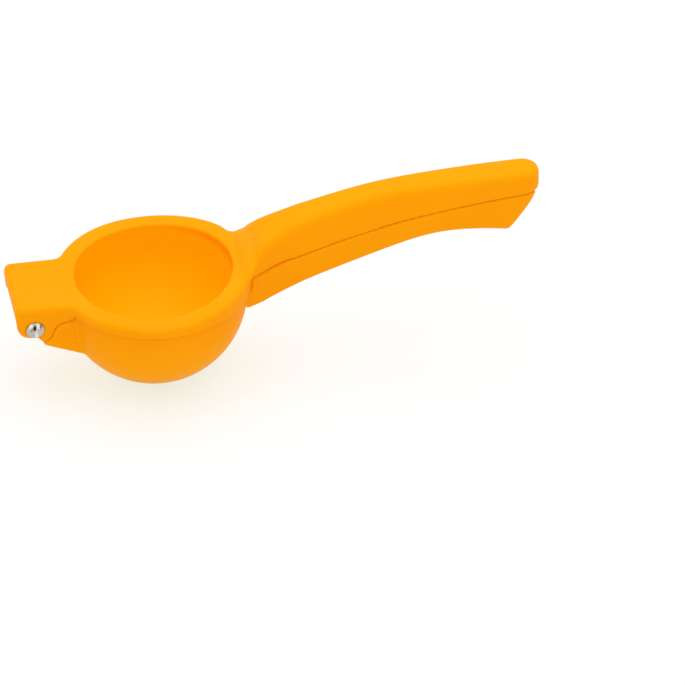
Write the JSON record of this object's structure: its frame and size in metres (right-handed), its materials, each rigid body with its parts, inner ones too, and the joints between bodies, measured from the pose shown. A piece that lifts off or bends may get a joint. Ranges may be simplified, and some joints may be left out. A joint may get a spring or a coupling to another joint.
{
  "type": "lemon squeezer",
  "caption": "Hinged hand press for citrus: a round press cup swings on a rivet into a holed strainer bowl, squeezed by two long curved grips.",
  "frame": {"origin": "bottom centre of the closed squeezer's box, level with the bottom of the bowl", "axes": "+X runs from the hinge along the grips to their tip, +Z is the bowl's axis and the normal of the rim's flat upper face, and +Y completes the right-handed frame along the hinge pin"},
  "size_m": [0.2064, 0.076, 0.0765],
  "materials": {
    "enamel": "smooth satin orange-yellow enamel on cast aluminium",
    "rivet_steel": "bright turned steel"
  },
  "bodies": {
    "lower_arm": {"strainer_arm": "enamel"},
    "upper_arm": {"press_arm": "enamel", "hinge_pin": "rivet_steel"}
  },
  "joints": [
    {"name": "press_hinge", "type": "hinge", "parent": "lower_arm", "child": "upper_arm", "pos_m": [-0.0958, 0, 0.03463], "axis": [0, -1, 0], "range_deg": [0, 105]}
  ]
}
